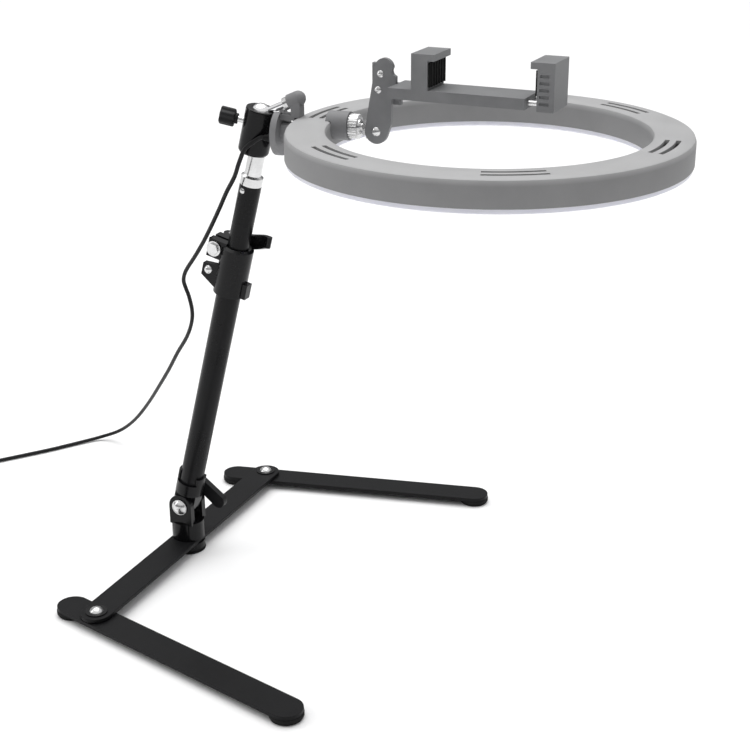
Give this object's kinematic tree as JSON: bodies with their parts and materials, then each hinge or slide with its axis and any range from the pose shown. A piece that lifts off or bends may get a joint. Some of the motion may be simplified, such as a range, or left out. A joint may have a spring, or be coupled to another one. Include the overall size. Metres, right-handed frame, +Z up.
{
  "type": "desktop ring light",
  "caption": "Ring lamp held flat over a table on a leaning telescopic post, with a ball head, folding bar legs, a phone clamp and a thin cable.",
  "frame": {"origin": "middle of the hub pad's underside, on the table under the post's swivel", "axes": "+Z up, +X the way the legs point and the post leans, +Y along the crossbar to the rear leg"},
  "size_m": [0.6635, 0.3526, 0.3907],
  "materials": {
    "bar_paint": "satin black powder coat, fine grain",
    "tube_paint": "smooth satin black coat",
    "black_plastic": "moulded black plastic, low gloss",
    "knob_plastic": "matte black moulded plastic",
    "rubber": "matte black rubber",
    "steel": "bright turned steel",
    "chrome": "polished chrome",
    "ring_grey": "fine matte grey plastic",
    "bracket_grey": "matte grey plastic",
    "clamp_grey": "matte grey plastic",
    "diffuser": "milky translucent plastic",
    "nylon": "natural nylon",
    "board": "white circuit board",
    "lamp": "yellow phosphor lamp",
    "cable_black": "soft black sheath"
  },
  "bodies": {
    "base": {"hub_pad": "rubber", "base_hub": "black_plastic", "crossbar": "bar_paint", "swivel_screw": "steel", "swivel_nut": "steel", "leg_rivets": "steel", "rivet_washers": "black_plastic", "leg_spacers": "nylon", "cable": "cable_black", "cable_coil": "cable_black", "coil_tie": "black_plastic", "usb_plug": "black_plastic"},
    "front_leg": {"front_leg": "bar_paint", "front_leg_feet": "rubber"},
    "rear_leg": {"rear_leg": "bar_paint", "rear_leg_feet": "rubber"},
    "foot": {"post_foot": "black_plastic", "hinge_bolt": "steel"},
    "tilt_lever": {"tilt_lever": "knob_plastic"},
    "post": {"post_socket": "black_plastic", "outer_tube": "tube_paint", "clamp_collar": "black_plastic", "clamp_bolt": "steel", "clamp_screw": "steel", "lever_pin": "steel"},
    "clamp_lever": {"clamp_lever": "black_plastic"},
    "mast": {"inner_tube": "tube_paint", "guide_bush": "nylon", "spigot": "steel", "spigot_screw": "steel", "pan_nut": "steel"},
    "head": {"head_housing": "black_plastic", "ball_cup": "nylon"},
    "head_knob": {"knob_screw": "steel", "head_knob": "knob_plastic"},
    "ball": {"ball_stud": "chrome", "lock_nut": "steel"},
    "ring": {"ring_bracket": "bracket_grey", "bracket_screws": "steel", "ring_housing": "ring_grey", "housing_screws": "steel", "led_board": "board", "leds": "lamp", "diffuser": "diffuser", "cable_gland": "cable_black", "holder_boss": "bracket_grey"},
    "thumb_nut": {"thumb_nut": "steel"},
    "hinge_tongue": {"hinge_tongue": "steel"},
    "phone_clamp": {"hinge_plate": "clamp_grey", "hinge_screw": "steel", "plate_rivets": "steel", "clamp_body": "clamp_grey", "fixed_jaw_pad": "rubber"},
    "sliding_jaw": {"guide_rods": "steel", "sliding_jaw": "clamp_grey", "sliding_jaw_pad": "rubber"}
  },
  "joints": [
    {"name": "front_leg_fold", "type": "hinge", "parent": "base", "child": "front_leg", "pos_m": [0, -0.1241, 0.006], "axis": [0, 0, 1], "range_deg": [-76, 34]},
    {"name": "rear_leg_fold", "type": "hinge", "parent": "base", "child": "rear_leg", "pos_m": [0, 0.1241, 0.006], "axis": [0, 0, 1], "range_deg": [-34, 76]},
    {"name": "post_swivel", "type": "hinge", "parent": "base", "child": "foot", "pos_m": [0, 0, 0.02], "axis": [0, 0, 1], "range_deg": [-90, 90], "deforming": ["cable"]},
    {"name": "tilt_lever_turn", "type": "hinge", "parent": "foot", "child": "tilt_lever", "pos_m": [0, 0.0145, 0.039], "axis": [0, 1, 0], "range_deg": [-60, 45]},
    {"name": "post_tilt", "type": "hinge", "parent": "foot", "child": "post", "pos_m": [0, 0, 0.039], "axis": [0, 1, 0], "range_deg": [-14.45, 30], "deforming": ["cable"]},
    {"name": "clamp_lever_flip", "type": "hinge", "parent": "post", "child": "clamp_lever", "pos_m": [0.0388, 0.0138, 0.24689], "axis": [0.2495, 0, 0.9684], "range_deg": [0, 110], "deforming": ["cable"]},
    {"name": "mast_slide", "type": "slide", "parent": "post", "child": "mast", "axis": [0.2495, 0, 0.9684], "range_m": [-0.022, 0.09], "deforming": ["cable"]},
    {"name": "head_pan", "type": "hinge", "parent": "mast", "child": "head", "pos_m": [0.07236, 0, 0.31983], "axis": [0.2495, 0, 0.9684], "range_deg": [-170, 170], "deforming": ["cable"]},
    {"name": "head_knob_turn", "type": "hinge", "parent": "head", "child": "head_knob", "pos_m": [0.06241, -0.0041, 0.3384], "axis": [-0.91, -0.342, 0.2345], "continuous": true},
    {"name": "ball_tilt", "type": "hinge", "parent": "head", "child": "ball", "pos_m": [0.07505, 0, 0.34227], "axis": [0.1158, -0.9933, 0], "range_deg": [-8, 65], "deforming": ["cable"]},
    {"name": "ring_spin", "type": "hinge", "parent": "ball", "child": "ring", "pos_m": [0.09864, 0.00275, 0.35284], "axis": [0.9074, 0.1058, 0.4067], "range_deg": [-45, 5], "deforming": ["cable"]},
    {"name": "thumb_nut_turn", "type": "hinge", "parent": "ring", "child": "thumb_nut", "pos_m": [0.1411, 0.0077, 0.33827], "axis": [0.9933, 0.1158, 0], "continuous": true},
    {"name": "holder_swivel", "type": "hinge", "parent": "ring", "child": "hinge_tongue", "pos_m": [0.13216, 0.00666, 0.33827], "axis": [0.9933, 0.1158, 0], "range_deg": [-45, 45]},
    {"name": "holder_tilt", "type": "hinge", "parent": "hinge_tongue", "child": "phone_clamp", "pos_m": [0.1564, 0.00948, 0.33627], "axis": [0, 1, 0], "range_deg": [-15, 30]},
    {"name": "jaw_slide", "type": "slide", "parent": "phone_clamp", "child": "sliding_jaw", "axis": [1, 0, 0], "range_m": [-0.007, 0.015]}
  ]
}
